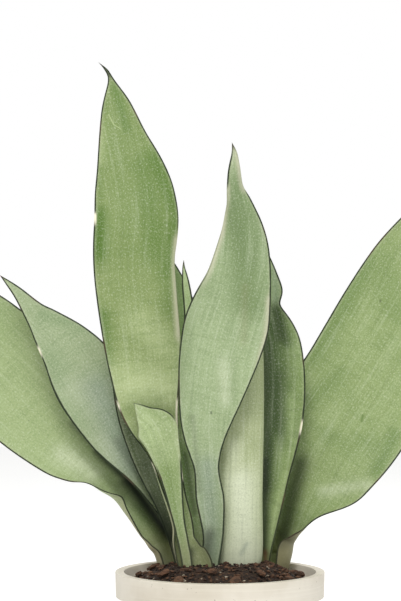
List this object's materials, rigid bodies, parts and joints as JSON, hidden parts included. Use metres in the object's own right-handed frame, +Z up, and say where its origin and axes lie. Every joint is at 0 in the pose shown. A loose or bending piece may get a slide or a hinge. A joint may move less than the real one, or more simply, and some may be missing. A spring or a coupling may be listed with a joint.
{
  "type": "potted snake plant",
  "caption": "Potted snake plant with broad, upright silvery-green leaves, thin dark margins, bark-topped soil and a plain tapered pot with a rim band.",
  "frame": {"origin": "centre of the pot's flat underside", "axes": "+Z up the plant; -Y is the front, which the leaves' inner faces look towards; +X is to the right seen from the front"},
  "size_m": [0.499, 0.181, 0.56],
  "materials": {
    "leaf_blade": "satin, silvery green with fine streaks and a thin dark green margin",
    "pot_body": "matte off-white",
    "potting_mix": "rough, dark crumbly bark and peat mix",
    "bark": "rough brown bark",
    "rhizome_skin": "matte, tan"
  },
  "bodies": {
    "root": {"pot": "pot_body", "soil": "potting_mix", "rhizome": "rhizome_skin", "tall_leaf": "leaf_blade", "heart_leaf": "leaf_blade", "centre_leaf": "leaf_blade", "keeled_leaf": "leaf_blade", "backing_leaf": "leaf_blade", "right_leaf": "leaf_blade", "spear_leaf": "leaf_blade", "rear_leaf": "leaf_blade", "olive_leaf": "leaf_blade", "left_leaf": "leaf_blade", "far_left_leaf": "leaf_blade", "bark_chip_1": "bark", "bark_chip_2": "bark", "bark_chip_3": "bark", "bark_chip_4": "bark", "bark_chip_5": "bark", "bark_chip_6": "bark", "bark_chip_7": "bark", "bark_chip_8": "bark", "bark_chip_9": "bark", "bark_chip_10": "bark", "bark_chip_11": "bark", "bark_chip_12": "bark"}
  },
  "joints": []
}
